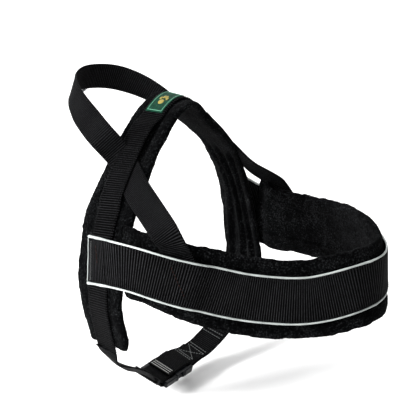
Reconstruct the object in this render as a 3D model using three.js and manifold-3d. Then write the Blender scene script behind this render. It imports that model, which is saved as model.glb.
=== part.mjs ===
// Padded chest harness for a large dog: saddle arch, chest band, diagonal straps that run on
// into a carrying handle, and a belly strap with a side-release buckle.
// Millimetres. +X towards the dog's head, +Y towards its left, +Z up.
// The origin is the middle of the saddle's underside, where it lies on the withers.

import * as THREE from "three";
import { mergeVertices } from "three/addons/utils/BufferGeometryUtils.js";
import Module from "manifold-3d";

const wasm = await Module();
wasm.setup();
const { Manifold } = wasm;

// ---------------------------------------------------------------- driving dimensions

const GAP = 0.4; // between neighbouring layers
const LINING = 3.0; // fleece on the dog's side
const FOAM = 3.4;
const OUTER = 2.2; // fleece on the outside
const WEBBING = 1.6;
const WIDE_WEBBING = 2.0;

const SADDLE_HALF = 31; // half the saddle pad's width
const CHEST_HALF = 40; // half the chest pad's height
const STRAP_HALF = 15; // 30 mm webbing
const CHEST_WEB_HALF = 23.5; // between the pipings
const PIPING_RADIUS = 1.4;
const FOAM_INSET = 5; // the foam stops short of the pad's edges

const FOAM_LOW = LINING + GAP;
const OUTER_LOW = FOAM_LOW + FOAM + GAP;
const PAD_THICKNESS = OUTER_LOW + OUTER;
const STRAP_LOW = PAD_THICKNESS + GAP;
const CHEST_WEB_LOW = STRAP_LOW + WEBBING + GAP;
const CROSSING_LIFT = WEBBING + 2.4; // the girth webbing rises over the diagonal straps

const CROWN_FLAT = 9; // half the length of the flat that rests on the withers
const STATION_START = 8; // the layers share their stations from here on

const BUCKLE_AT = [12, -39, -300]; // where the plug meets the socket
const BUCKLE_ROLL = 16; // degrees: its front edge hangs lower
const BUCKLE_HALF = 19;
const BUCKLE_THICK = 9;
const BEVEL = 0.9;
const SOCKET_LENGTH = 31;
const CAVITY_HALF = 15.5;
const CAVITY_THICK = 5.4;
const CAVITY_DEPTH = 20.5;
const WINDOW = [6, 14]; // where the arms show, from the socket's mouth
const FINGER_RADIUS = 12;
const FINGER_DEPTH = 2.2;
const PLUG_LENGTH = 21; // outside the socket
const PLUG_THICK = 7.4;
const SHOULDER = 0.5; // the plug stops this far from the socket's mouth
const BAR = 3; // the bars that webbing goes round
const BAR_THICK = 4.4;
const BAR_SLOT = 4.4;
const SLOT_HALF = STRAP_HALF + 0.4;
const STRAP_OFF_BAR = BAR_THICK / 2 + GAP + WEBBING / 2;
const TONGUE_HALF = 3;
const TONGUE_LENGTH = 15;
const ARM_INSIDE = 10.2; // from the middle to the arm's inner side
const ARM_WIDTH = 3.4;
const ARM_REACH = 16;
const ARM_THICK = 4.4;
const LUG_REACH = 18.4;
const KEEPER_AT = [-37.6, 10.9]; // along and above the buckle, on the adjusting tail
const KEEPER_TILT = -33; // degrees
const KEEPER_WIDTH = 5;

const HANDLE_ROOT = 24; // the ends of the handle that bend
const RING_AT = 0.52; // how far along the handle
const RING_HALF = 12; // half the straight side of the lead ring
const RING_WIRE = 2;
const KEEPER_HALF = 8;

// ---------------------------------------------------------------- small helpers

const vec = (x, y, z) => new THREE.Vector3(x, y, z);
const smooth = (x) => x * x * (3 - 2 * x);
const clamp = (x) => Math.min(1, Math.max(0, x));

function spacedValues(from, to, steps) {
  return Array.from({ length: steps + 1 }, (_, i) => from + ((to - from) * i) / steps);
}

// A closed solid through a row of equal rings of points, with flat ends.
function loft(rings) {
  const size = rings[0].length;
  const positions = rings.flat().flatMap((p) => [p.x, p.y, p.z]);
  const index = [];
  for (let r = 0; r < rings.length - 1; r++) {
    for (let k = 0; k < size; k++) {
      const a = r * size + k;
      const b = r * size + ((k + 1) % size);
      const outbound = k < size / 2;
      // Both faces of a strip are divided along the same diagonals.
      if (outbound) index.push(a, b, a + size, b, b + size, a + size);
      else index.push(a, b, b + size, a, b + size, a + size);
    }
  }
  const last = (rings.length - 1) * size;
  for (const [i, j, k] of capTriangles(size)) {
    index.push(i, k, j);
    index.push(last + i, last + j, last + k);
  }
  const geometry = new THREE.BufferGeometry();
  geometry.setAttribute("position", new THREE.Float32BufferAttribute(positions, 3));
  geometry.setIndex(index);
  return facingOut(geometry);
}

// Triangles of an end: the ring runs along one side and back along the other.
function capTriangles(size) {
  const triangles = [];
  for (let low = 0, high = size - 1; high - low > 1; ) {
    triangles.push([low, low + 1, high]);
    low += 1;
    if (high - low > 1) {
      triangles.push([low, high - 1, high]);
      high -= 1;
    }
  }
  return triangles;
}

function signedVolume(geometry) {
  const p = geometry.attributes.position;
  const corner = (i) => new THREE.Vector3().fromBufferAttribute(p, geometry.index.getX(i));
  let total = 0;
  for (let i = 0; i < geometry.index.count; i += 3) {
    total += corner(i).dot(corner(i + 1).cross(corner(i + 2)));
  }
  return total / 6;
}

function facingOut(geometry) {
  if (signedVolume(geometry) < 0) {
    const index = geometry.index.array;
    for (let i = 0; i < index.length; i += 3) {
      [index[i + 1], index[i + 2]] = [index[i + 2], index[i + 1]];
    }
  }
  geometry.computeVertexNormals();
  return geometry;
}

function box(xs, ys, zs) {
  return Manifold.cube([xs[1] - xs[0], ys[1] - ys[0], zs[1] - zs[0]])
    .translate([xs[0], ys[0], zs[0]]);
}

function bevelledBox(xs, ys, zs, bevel) {
  const shrunk = ([low, high]) => [low + bevel, high - bevel];
  return Manifold.hull([
    box(xs, shrunk(ys), shrunk(zs)),
    box(shrunk(xs), ys, shrunk(zs)),
    box(shrunk(xs), shrunk(ys), zs),
  ]);
}

const evenly = (half) => [-half, half];

// Only the positions of a geometry's corners, so that shared ones can be merged.
function withoutExtras(geometry) {
  geometry.deleteAttribute("normal");
  geometry.deleteAttribute("uv");
  return geometry;
}

function geometryOf(manifold) {
  const mesh = manifold.getMesh();
  const geometry = new THREE.BufferGeometry();
  geometry.setAttribute("position", new THREE.Float32BufferAttribute(mesh.vertProperties, 3));
  geometry.setIndex([...mesh.triVerts]);
  return facingOut(geometry);
}

// ---------------------------------------------------------------- surfaces that strips lie on

// A ruled surface: a centre line with a direction across it at each of its points.
// Distances along it are in millimetres of centre line, counted from its first point.
class StripSurface {
  constructor(points, side, crownFlat = 0) {
    this.side = side; // +1 or -1: which way is outward
    this.crownFlat = crownFlat; // half the length of the level stretch at its middle
    this.line = new THREE.CatmullRomCurve3(
      points.map((p) => vec(...p.at)), false, "catmullrom", 0.5);
    this.across = new THREE.CatmullRomCurve3(
      points.map((p) => vec(...p.across)), false, "catmullrom", 0.5);
    this.table = [0];
    const fine = 400;
    const samples = spacedValues(0, 1, fine).map((t) => this.line.getPoint(t));
    for (let i = 1; i <= fine; i++) {
      this.table.push(this.table[i - 1] + samples[i].distanceTo(samples[i - 1]));
    }
    this.length = this.table[fine];
    this.middle = this.table[fine / 2];
  }

  parameter(distance) {
    const last = this.table.length - 1;
    let i = 1;
    while (i < last && this.table[i] < distance) i++;
    const share = (distance - this.table[i - 1]) / (this.table[i] - this.table[i - 1]);
    return (i - 1 + share) / last;
  }

  curvedFrame(distance) {
    const t = this.parameter(distance);
    const along = this.line.getPoint(clamp(t + 0.001)).sub(this.line.getPoint(clamp(t - 0.001)));
    along.normalize();
    const across = this.across.getPoint(t);
    across.addScaledVector(along, -across.dot(along)).normalize();
    const outward = across.clone().cross(along).multiplyScalar(this.side);
    return { centre: this.line.getPoint(t), along, across, outward };
  }

  // The level stretch lies in one plane, square to Z, through the middle point.
  levelFrame(distance) {
    const { centre, along } = this.curvedFrame(this.middle);
    along.setZ(0).normalize();
    const outward = vec(0, 0, 1);
    const across = along.clone().cross(outward).multiplyScalar(this.side);
    return { centre: centre.addScaledVector(along, distance - this.middle), along, across, outward };
  }

  frame(distance) {
    const level = Math.abs(distance - this.middle) <= this.crownFlat;
    return level ? this.levelFrame(distance) : this.curvedFrame(distance);
  }

  point(distance, across, out) {
    const f = this.frame(distance);
    return f.centre.addScaledVector(f.across, across).addScaledVector(f.outward, out);
  }
}

// A layer of a strip, between two heights over its surface. breaks are the places across it
// where its faces are divided; lift raises it along the way.
function layer(surface, { stations, breaks, low, high, lift = () => 0 }) {
  const rings = stations.map((distance) => {
    const raised = lift(distance);
    const under = breaks.map((b) => surface.point(distance, b, low + raised));
    const over = [...breaks].reverse().map((b) => surface.point(distance, b, high + raised));
    return [...under, ...over];
  });
  return loft(rings);
}

// Where a pad's layer is divided across: at its webbing's edges and at the foam's edges, so
// that neighbouring layers have the same facets.
function padBreaks(half, padHalf, webbingHalf) {
  const inner = [webbingHalf, padHalf - FOAM_INSET, padHalf].filter((b) => b <= half);
  return [...inner.map((b) => -b).reverse(), ...inner];
}

// ---------------------------------------------------------------- the saddle arch

const saddleSurface = new StripSurface(
  [
    { at: [10, -128, -234], across: [1, -0.25, 0] },
    { at: [3, -133, -179], across: [1, -0.24, 0] },
    { at: [-1, -118, -118], across: [1, -0.25, 0] },
    { at: [-4, -87, -73], across: [1, -0.25, 0] },
    { at: [-4, -44, -28], across: [1, -0.25, 0] },
    { at: [0, 0, 0], across: [1, -0.25, 0] },
    { at: [2, 44, -35], across: [1, -0.25, 0] },
    { at: [3, 88, -75], across: [1, -0.24, 0] },
    { at: [4, 118, -121], across: [1, -0.18, 0] },
    { at: [7, 131, -177], across: [1, -0.08, 0] },
    { at: [14, 129, -232], across: [1, 0, 0] },
  ],
  1,
  CROWN_FLAT);

const SADDLE_TOP = saddleSurface.middle;
const SADDLE_STEPS = 15; // on each side of the crown
const CROSSING_FROM_TOP = 88; // where the diagonal straps pass under the girth webbing
const CROSSING_REACH = 58;

function crossingLift(distance) {
  const off = Math.abs(Math.abs(distance - SADDLE_TOP) - CROSSING_FROM_TOP);
  return CROSSING_LIFT * smooth(clamp((CROSSING_REACH - off) / 18));
}

// Where the saddle's layers have their rings of points.
function saddleStations(trim) {
  const end = saddleSurface.length;
  return [
    trim,
    ...spacedValues(STATION_START, SADDLE_TOP - CROWN_FLAT, SADDLE_STEPS),
    ...spacedValues(SADDLE_TOP + CROWN_FLAT, end - STATION_START, SADDLE_STEPS),
    end - trim,
  ];
}

function saddleLayer(half, low, high, trim) {
  const breaks = padBreaks(half, SADDLE_HALF, STRAP_HALF);
  return layer(saddleSurface, { stations: saddleStations(trim), breaks, low, high });
}

const saddleLining = () => saddleLayer(SADDLE_HALF, 0, LINING, 0);
const saddleFoam = () =>
  saddleLayer(SADDLE_HALF - FOAM_INSET, FOAM_LOW, FOAM_LOW + FOAM, FOAM_INSET);
const saddleOuter = () => saddleLayer(SADDLE_HALF, OUTER_LOW, PAD_THICKNESS, 0);

function girthWebbing() {
  return layer(saddleSurface, {
    stations: saddleStations(6),
    breaks: evenly(STRAP_HALF),
    low: STRAP_LOW,
    high: STRAP_LOW + WEBBING,
    lift: crossingLift,
  });
}

function labelPatch() {
  const low = STRAP_LOW + WEBBING + GAP;
  return layer(saddleSurface, {
    stations: [-24, -17, -CROWN_FLAT, 4].map((off) => SADDLE_TOP + off),
    breaks: evenly(9.5),
    low,
    high: low + 0.8,
    lift: crossingLift,
  });
}

// ---------------------------------------------------------------- the chest band

const chestSurface = new StripSurface(
  [
    { at: [-17, -121, -141], across: [0.02, 0.15, 1] },
    { at: [38, -133, -131], across: [-0.02, 0.02, 1] },
    { at: [90, -120, -141], across: [-0.05, 0, 1] },
    { at: [140, -85, -159], across: [-0.08, 0.02, 1] },
    { at: [193, -46, -165], across: [-0.07, 0.04, 1] },
    { at: [232, -10, -155], across: [-0.09, 0.02, 1] },
    { at: [236, 28, -149], across: [0, -0.1, 1] },
    { at: [199, 70, -145], across: [-0.12, -0.18, 1] },
    { at: [150, 100, -149], across: [-0.1, -0.24, 1] },
    { at: [90, 118, -157], across: [-0.06, -0.22, 1] },
    { at: [36, 126, -157], across: [0, -0.12, 1] },
    { at: [-18, 129, -142], across: [0, 0.02, 1] },
  ],
  -1);

const CHEST_STEPS = 34;
const CHEST_PAD_START = 68; // clear of the saddle leg's front edge
const CHEST_RISE = 5.6; // its ends rise over the girth webbing and the diagonal straps
const RISE_NEAR = 132; // how far the rise reaches from each end
const RISE_FAR = 108;
const HEM = 1.2;

// Where the pad's layers have their rings of points, and the webbing over them.
const padStations = spacedValues(
  CHEST_PAD_START + STATION_START, chestSurface.length - CHEST_PAD_START - STATION_START,
  CHEST_STEPS);
const webStations = [
  ...spacedValues(0, CHEST_PAD_START, 7),
  ...padStations,
  ...spacedValues(chestSurface.length - CHEST_PAD_START, chestSurface.length, 7),
];

function chestLayer(half, low, high, trim) {
  const start = CHEST_PAD_START + trim;
  return layer(chestSurface, {
    stations: [start, ...padStations, chestSurface.length - start],
    breaks: padBreaks(half, CHEST_HALF, CHEST_WEB_HALF),
    low,
    high,
  });
}

const chestLining = () => chestLayer(CHEST_HALF, 0, LINING, 0);
const chestFoam = () => chestLayer(CHEST_HALF - FOAM_INSET, FOAM_LOW, FOAM_LOW + FOAM, FOAM_INSET);
const chestOuter = () => chestLayer(CHEST_HALF, OUTER_LOW, PAD_THICKNESS, 0);

function endRise(distance) {
  const near = RISE_NEAR - distance;
  const far = RISE_FAR - (chestSurface.length - distance);
  return CHEST_RISE * smooth(clamp(Math.max(near, far) / 24 + 0.5));
}

function chestWebbing() {
  return layer(chestSurface, {
    stations: webStations,
    breaks: evenly(CHEST_WEB_HALF),
    low: CHEST_WEB_LOW,
    high: CHEST_WEB_LOW + WIDE_WEBBING,
    lift: endRise,
  });
}

// A round cord along the webbing's edge. level is +1 for the upper one, -1 for the lower one.
function reflectivePiping(level) {
  const sides = 6;
  const across = level * (CHEST_WEB_HALF + GAP + PIPING_RADIUS);
  const middle = CHEST_WEB_LOW + WIDE_WEBBING / 2;
  const rings = webStations.map((distance) =>
    Array.from({ length: sides }, (_, k) => {
      const angle = (2 * Math.PI * k) / sides;
      const out = middle + endRise(distance) + PIPING_RADIUS * Math.sin(angle);
      return chestSurface.point(distance, across + PIPING_RADIUS * Math.cos(angle), out);
    }));
  return loft(rings);
}

function reflectiveHem(start) {
  const low = CHEST_WEB_LOW + WIDE_WEBBING + GAP;
  return layer(chestSurface, {
    stations: [start, start + HEM],
    breaks: evenly(CHEST_WEB_HALF - 1),
    low,
    high: low + 0.6,
    lift: endRise,
  });
}

// ---------------------------------------------------------------- free straps

// A strap through hand-placed points, each with the direction across the strap there.
// from and to are shares of its length.
function strap(points, steps, { from = 0, to = 1, thickness = WEBBING } = {}) {
  const surface = new StripSurface(points, 1);
  return layer(surface, {
    stations: spacedValues(surface.length * from, surface.length * to, steps),
    breaks: evenly(STRAP_HALF),
    low: -thickness / 2,
    high: thickness / 2,
  });
}

const OVER_PAD = STRAP_LOW + WEBBING / 2 + 0.3;

// A place on a surface, as a strap's point: the strap heads there by that many millimetres
// along the surface and across it.
function onSurface(surface, distance, across, heading, out = OVER_PAD) {
  const f = surface.frame(distance);
  const way = f.along.clone().multiplyScalar(heading[0]).addScaledVector(f.across, heading[1]);
  const sideways = f.outward.clone().cross(way).normalize();
  return { at: surface.point(distance, across, out).toArray(), across: sideways.toArray() };
}

// The diagonal strap of one side: from under the chest webbing, up over the saddle's shoulder.
function diagonalStrap(near) {
  const chestAt = (d) => (near ? d : chestSurface.length - d);
  const saddleAt = (d) => SADDLE_TOP + (near ? -d : d);
  const way = near ? 1 : -1;
  const onChest = near
    ? [[118, 4, 1], [106, 24, 1], [90, 48, 5.4]]
    : [[88, 4, 1], [78, 24, 1], [69, 44, 2]];
  const onSaddle = near
    ? [[124, 36, 1.8, -1.0], [104, 12, 0, -1.1], [85, -12, 0, -1.25], [68, -36, 0, -1.4]]
    : [[134, 36, 0, -1.1], [110, 12, 0, -1.1], [88, -12, 0, -1.25], [69, -36, 0, -1.4]];
  return strap(
    [
      ...onChest.map(([d, b, raised]) =>
        onSurface(chestSurface, chestAt(d), b, [-way * 0.62, 1], OVER_PAD + raised)),
      ...onSaddle.map(([d, b, raised, turn]) =>
        onSurface(saddleSurface, saddleAt(d), b, [way, turn], OVER_PAD + raised)),
    ],
    22);
}

// The handle: a loop of the same webbing behind the saddle. Its two ends bend.
const HANDLE_POINTS = [
  { at: [-36, -81, -22], across: [0.55, 0.55, 0.63] },
  { at: [-58, -72, -12], across: [0.5, 0.45, 0.74] },
  { at: [-90, -52, -1], across: [0.4, 0.2, 0.9] },
  { at: [-122, -18, 7], across: [0.3, 0.05, 0.95] },
  { at: [-130, 20, 8], across: [0.2, 0, 0.98] },
  { at: [-112, 58, 0], across: [0.2, -0.1, 0.97] },
  { at: [-78, 84, -20], across: [0.3, -0.3, 0.9] },
  { at: [-42, 96, -48], across: [0.5, -0.5, 0.7] },
];
const handleSurface = new StripSurface(HANDLE_POINTS, 1);
const ROOT_SHARE = HANDLE_ROOT / handleSurface.length;
const JOIN_SHARE = GAP / handleSurface.length;

const handleLoop = () => strap(HANDLE_POINTS, 24, { from: ROOT_SHARE, to: 1 - ROOT_SHARE });
const handleRootNear = () => strap(HANDLE_POINTS, 3, { to: ROOT_SHARE - JOIN_SHARE });
const handleRootFar = () => strap(HANDLE_POINTS, 3, { from: 1 - ROOT_SHARE + JOIN_SHARE });

// ---------------------------------------------------------------- lead ring on the handle

// The place on the handle's outer face where the ring's keeper is sewn: x is along the
// handle, y up it and z out of it.
function ringPlace() {
  const f = handleSurface.frame(handleSurface.length * RING_AT);
  const out = f.outward.clone().multiplyScalar(f.outward.x < 0 ? 1 : -1);
  const along = f.across.clone().cross(out);
  return new THREE.Matrix4().makeBasis(along, f.across, out).setPosition(f.centre);
}

const KEEPER_INSIDE = RING_WIRE + GAP;
const KEEPER_WALL = 1.3;
const KEEPER_OUT = WEBBING / 2 + GAP + KEEPER_WALL + KEEPER_INSIDE;

function ringKeeper() {
  const sides = 16;
  const tube = (radius, half) =>
    Manifold.cylinder(2 * half, radius, radius, sides, true).rotate([0, 90, 0]);
  const loop = tube(KEEPER_INSIDE + KEEPER_WALL, KEEPER_HALF).subtract(tube(KEEPER_INSIDE, 99));
  return geometryOf(loop.translate([0, 0, KEEPER_OUT])).applyMatrix4(ringPlace());
}

// A D-shaped ring: the straight side runs through the keeper, the bow hangs below.
function leadRing() {
  const corner = 4;
  const drop = 20;
  const bow = spacedValues(0, Math.PI, 8).map((angle) =>
    vec(RING_HALF * Math.cos(angle), -corner - (drop - corner) * Math.sin(angle), 0));
  const bar = spacedValues(-1, 1, 4).map((share) => vec((RING_HALF - corner / 2) * share, 0, 0));
  const path = new THREE.CatmullRomCurve3([...bar, ...bow], true, "centripetal");
  const tube = new THREE.TubeGeometry(path, 30, RING_WIRE, 8, true);
  return facingOut(mergeVertices(withoutExtras(tube))).translate(0, 0, KEEPER_OUT)
    .applyMatrix4(ringPlace());
}

// ---------------------------------------------------------------- the belly strap

function bellyStrapNear() {
  return strap(
    [
      onSurface(saddleSurface, 0, 0, [-1, 0], STRAP_LOW + WEBBING),
      { at: [7, -131, -249], across: [0.93, -0.25, -0.2] },
      { at: [12.5, -110, -266], across: [0.95, -0.1, -0.25] },
      { at: [18, -95, -276.3], across: [0.961, 0, -0.276] },
      { at: [16.3, -81.9, -284.9], across: [0.961, 0, -0.276] },
    ],
    14);
}

// Its near end lies over the buckle and keeps it off the dog.
function bellyStrapFar() {
  return strap(
    [
      { at: [12, -41, -294.1], across: [0.961, 0, -0.276] },
      { at: [12.5, -24, -294.1], across: [0.961, 0, -0.276] },
      { at: [13, -8, -294.6], across: [0.961, 0, -0.276] },
      { at: [14.5, 8, -297], across: [0.961, 0, -0.276] },
      { at: [17, 24, -295.4], across: [0.96, 0.04, -0.27] },
      { at: [19, 40, -290.5], across: [0.95, 0.08, -0.25] },
      { at: [21, 60, -282.5], across: [0.95, 0.12, -0.2] },
      { at: [21, 92, -267], across: [0.97, 0.12, -0.1] },
      { at: [18, 124, -246], across: [0.99, 0.05, 0] },
    ],
    22);
}

// ---------------------------------------------------------------- the buckle

// Buckle parts are made about the plug's meeting with the socket: x across the webbing,
// y into the socket, z towards the dog.
const bucklePlace = new THREE.Matrix4()
  .makeRotationY(THREE.MathUtils.degToRad(BUCKLE_ROLL))
  .setPosition(...BUCKLE_AT);

const placed = (geometry) => geometry.applyMatrix4(bucklePlace);

// Webbing through the buckle: places along and above it, in buckle terms.
function buckleWebbing(path, steps) {
  return placed(strap(path.map(([y, z]) => ({ at: [0, y, z], across: [1, 0, 0] })), steps));
}

function buckleSocket() {
  const half = BUCKLE_THICK / 2;
  const past = half + 1;
  const barFrom = SOCKET_LENGTH - BAR;
  const body = bevelledBox(evenly(BUCKLE_HALF), [0, SOCKET_LENGTH], evenly(half), BEVEL);
  const cavity = box(evenly(CAVITY_HALF), [-1, CAVITY_DEPTH], evenly(CAVITY_THICK / 2));
  const slot = box(evenly(SLOT_HALF), [barFrom - BAR_SLOT, barFrom], evenly(past));
  const windows = box(evenly(BUCKLE_HALF + 1), WINDOW, evenly(CAVITY_THICK / 2));
  const fingerHollow = (side) =>
    Manifold.cylinder(2 * past, FINGER_RADIUS, FINGER_RADIUS, 32, true)
      .translate([side * (BUCKLE_HALF + FINGER_RADIUS - FINGER_DEPTH), (WINDOW[0] + WINDOW[1]) / 2, 0]);
  const barOnly = [[BAR_THICK / 2, past], [-past, -BAR_THICK / 2]].map((zs) =>
    box(evenly(SLOT_HALF), [barFrom - 1, SOCKET_LENGTH + 1], zs));
  const cuts = Manifold.union([cavity, slot, windows, fingerHollow(1), fingerHollow(-1), ...barOnly]);
  return placed(geometryOf(body.subtract(cuts)));
}

function bucklePlug() {
  const half = PLUG_THICK / 2;
  const past = half + 1;
  const body = bevelledBox(
    evenly(BUCKLE_HALF), [-PLUG_LENGTH, -SHOULDER], evenly(half), BEVEL);
  const tongue = box(evenly(TONGUE_HALF), [-2 * SHOULDER, TONGUE_LENGTH], evenly(ARM_THICK / 2));
  const slots = [0, 1].map((i) => {
    const from = -PLUG_LENGTH + BAR + i * (BAR + BAR_SLOT);
    return box(evenly(SLOT_HALF), [from, from + BAR_SLOT], evenly(past));
  });
  const ladderEnd = -PLUG_LENGTH + 2 * (BAR + BAR_SLOT);
  const barsOnly = [[BAR_THICK / 2, past], [-past, -BAR_THICK / 2]].map((zs) =>
    box(evenly(SLOT_HALF), [-PLUG_LENGTH - 1, ladderEnd], zs));
  const plug = body.subtract(Manifold.union([...slots, ...barsOnly])).add(tongue);
  return placed(geometryOf(plug));
}

// A spring arm: a slim beam with a lug that catches in the socket's window.
function springArm(side) {
  const outside = ARM_INSIDE + ARM_WIDTH;
  const top = ARM_THICK / 2;
  const beam = box([ARM_INSIDE, outside], [0, ARM_REACH], evenly(top));
  const outline = [
    [outside - 1, WINDOW[0] + 0.6],
    [LUG_REACH, WINDOW[0] + 0.6],
    [LUG_REACH, WINDOW[0] + 2.6],
    [outside, ARM_REACH - 0.5],
    [outside - 1, ARM_REACH - 0.5],
  ];
  const lug = Manifold.hull(outline.flatMap(([x, y]) => [[x, y, -top], [x, y, top]]));
  const arm = beam.add(lug);
  return placed(geometryOf(side > 0 ? arm : arm.mirror([1, 0, 0])));
}

// The near strap's end: over the plug's ladder bars, down its inner slot and back as a tail.
function adjusterStrap() {
  return buckleWebbing(
    [
      [-42, 15], [-34, 9.6], [-27, 5.4], [-21, 3.7], [-12.2, STRAP_OFF_BAR], [-9, 2.7],
      [-8.2, 0], [-9, -2.7], [-12.2, -STRAP_OFF_BAR], [-19, -STRAP_OFF_BAR], [-24, -1.8],
      [-29, 3.2], [-35, 7.8], [-42, 12.5],
    ],
    34);
}

// The far strap's end, doubled round the socket's bar.
function bellyStrapLoop() {
  return buckleWebbing(
    [
      [60, 2.0], [47, 0.9], [40, 2.0], [33, STRAP_OFF_BAR], [29, STRAP_OFF_BAR], [26.2, 2.7],
      [25.5, 0], [26.2, -2.7], [29, -STRAP_OFF_BAR], [33, -STRAP_OFF_BAR], [40, -2.4],
      [47, -1.3], [60, 0],
    ],
    30);
}

function strapKeeper() {
  const wall = 1;
  const half = WEBBING + 1.5 * GAP;
  const outer = bevelledBox(
    evenly(SLOT_HALF + wall), evenly(KEEPER_WIDTH / 2), evenly(half + wall), BEVEL / 2);
  const loop = outer.subtract(box(evenly(SLOT_HALF), evenly(KEEPER_WIDTH), evenly(half)));
  return placed(geometryOf(loop.rotate([KEEPER_TILT, 0, 0]).translate(0, ...KEEPER_AT)));
}

// ---------------------------------------------------------------- put together

const fabric = (color, roughness = 0.9) =>
  new THREE.MeshStandardMaterial({ color, roughness, metalness: 0 });

const FLEECE = fabric(0x17181a, 1.0);
const FOAM_GREY = fabric(0x3a3b3d, 1.0);
const BLACK_WEBBING = fabric(0x0f1012, 0.75);
const REFLECTIVE = fabric(0xd5dbd8, 0.4);
const LABEL_GREEN = fabric(0x0c4f33, 0.8);
const BUCKLE_PLASTIC = new THREE.MeshStandardMaterial({ color: 0x1b1c1e, roughness: 0.5 });
const STEEL = new THREE.MeshStandardMaterial({ color: 0xc4c8cc, roughness: 0.25, metalness: 1 });

const harness = new THREE.Group();

function add(name, geometry, material, parent = harness) {
  const mesh = new THREE.Mesh(geometry, material);
  mesh.name = name;
  parent.add(mesh);
}

add("saddle_lining", saddleLining(), FLEECE);
add("saddle_foam", saddleFoam(), FOAM_GREY);
add("saddle_outer", saddleOuter(), FLEECE);
add("girth_webbing", girthWebbing(), BLACK_WEBBING);
add("label_patch", labelPatch(), LABEL_GREEN);
add("chest_lining", chestLining(), FLEECE);
add("chest_foam", chestFoam(), FOAM_GREY);
add("chest_outer", chestOuter(), FLEECE);
add("chest_webbing", chestWebbing(), BLACK_WEBBING);
add("reflective_piping_upper", reflectivePiping(1), REFLECTIVE);
add("reflective_piping_lower", reflectivePiping(-1), REFLECTIVE);
add("reflective_hem_near", reflectiveHem(0.6), REFLECTIVE);
add("reflective_hem_far", reflectiveHem(chestSurface.length - 0.6 - HEM), REFLECTIVE);
add("diagonal_strap_near", diagonalStrap(true), BLACK_WEBBING);
add("diagonal_strap_far", diagonalStrap(false), BLACK_WEBBING);
add("handle_root_near", handleRootNear(), BLACK_WEBBING);
add("handle_root_far", handleRootFar(), BLACK_WEBBING);
add("handle_loop", handleLoop(), BLACK_WEBBING);
add("ring_keeper", ringKeeper(), BLACK_WEBBING);
add("lead_ring", leadRing(), STEEL);
add("belly_strap_near", bellyStrapNear(), BLACK_WEBBING);
add("belly_strap_far", bellyStrapFar(), BLACK_WEBBING);
add("belly_strap_loop", bellyStrapLoop(), BLACK_WEBBING);
add("adjuster_strap", adjusterStrap(), BLACK_WEBBING);
add("strap_keeper", strapKeeper(), BLACK_WEBBING);
add("buckle_socket", buckleSocket(), BUCKLE_PLASTIC);
add("buckle_plug", bucklePlug(), BUCKLE_PLASTIC);
add("buckle_arm_front", springArm(1), BUCKLE_PLASTIC);
add("buckle_arm_rear", springArm(-1), BUCKLE_PLASTIC);

export default harness;
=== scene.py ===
"""Looks of a padded dog harness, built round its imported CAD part. Lengths are in millimetres
unless a comment says metres. +X towards the dog's head, +Y towards its left side, +Z up."""

import math

import bpy
import numpy as np
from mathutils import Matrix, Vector, noise


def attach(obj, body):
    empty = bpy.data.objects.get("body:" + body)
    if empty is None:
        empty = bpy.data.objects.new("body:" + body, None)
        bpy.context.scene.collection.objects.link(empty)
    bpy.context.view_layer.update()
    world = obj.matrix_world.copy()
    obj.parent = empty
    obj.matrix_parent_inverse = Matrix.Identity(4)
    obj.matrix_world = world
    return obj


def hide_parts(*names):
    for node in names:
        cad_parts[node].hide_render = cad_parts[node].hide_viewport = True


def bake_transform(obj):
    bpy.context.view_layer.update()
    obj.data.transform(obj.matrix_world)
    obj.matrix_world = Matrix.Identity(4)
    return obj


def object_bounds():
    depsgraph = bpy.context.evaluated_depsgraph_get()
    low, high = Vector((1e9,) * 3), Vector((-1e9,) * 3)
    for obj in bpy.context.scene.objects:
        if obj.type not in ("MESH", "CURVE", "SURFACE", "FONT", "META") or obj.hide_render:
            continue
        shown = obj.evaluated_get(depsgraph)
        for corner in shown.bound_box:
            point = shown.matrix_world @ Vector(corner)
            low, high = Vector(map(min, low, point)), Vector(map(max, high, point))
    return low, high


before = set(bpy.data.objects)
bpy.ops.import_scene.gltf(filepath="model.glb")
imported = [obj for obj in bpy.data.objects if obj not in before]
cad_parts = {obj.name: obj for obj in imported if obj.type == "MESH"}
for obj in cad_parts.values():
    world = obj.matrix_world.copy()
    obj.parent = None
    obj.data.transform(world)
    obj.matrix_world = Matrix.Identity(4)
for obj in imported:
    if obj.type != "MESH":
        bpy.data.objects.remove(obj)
cad_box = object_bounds()

# ------------------------------------------------------------------ driving dimensions, in mm

GAP = 0.4  # between neighbouring layers
WEBBING = 1.6
HALF_WEBBING = WEBBING / 2
WIDE_WEBBING = 2.0
PAD_THICKNESS = 9.4
STRAP_LOW = PAD_THICKNESS + GAP
CHEST_WEB_LOW = STRAP_LOW + WEBBING + GAP
OVER_PAD = STRAP_LOW + HALF_WEBBING + 0.3
GIRTH_LOW = STRAP_LOW - 0.6  # pressed onto the pad
BAND_LOW = CHEST_WEB_LOW - 0.9  # likewise
SADDLE_HALF = 31
CHEST_HALF = 40
STRAP_HALF = 15
CHEST_WEB_HALF = 23.5
PIPING_RADIUS = 1.4
BAND_END = 10.5  # the chest webbing stops this far short
BAND_SKEW = 0.14  # slant of its near end
FAR_LEAN = -16  # degrees the far diagonal strap leans
CROSSING_LIFT = 4.0  # the girth webbing rises over the diagonal straps
CROSSING_FROM_TOP = 88
CROSSING_REACH = 58
CHEST_PAD_START = 47
CHEST_PAD_END = 44
CHEST_RISE = 5.6  # of the chest webbing's ends
RISE_NEAR = 132
RISE_FAR = 108
HANDLE_ROOT = 24  # length of each end piece of the handle, between its diagonal strap and its loop
RING_AT = 0.52  # how far along the handle
RING_HALF = 12  # half the straight side of the lead ring
RING_WIRE = 2  # radius
RING_KEEPER_HALF = 8
BUCKLE_AT = (12, -39, -300)
BUCKLE_ROLL = 16  # degrees, front edge lower
BUCKLE_BEVEL = 0.00045  # metres
BAR_THICK = 4.4
STRAP_OFF_BAR = BAR_THICK / 2 + GAP + HALF_WEBBING

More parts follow.
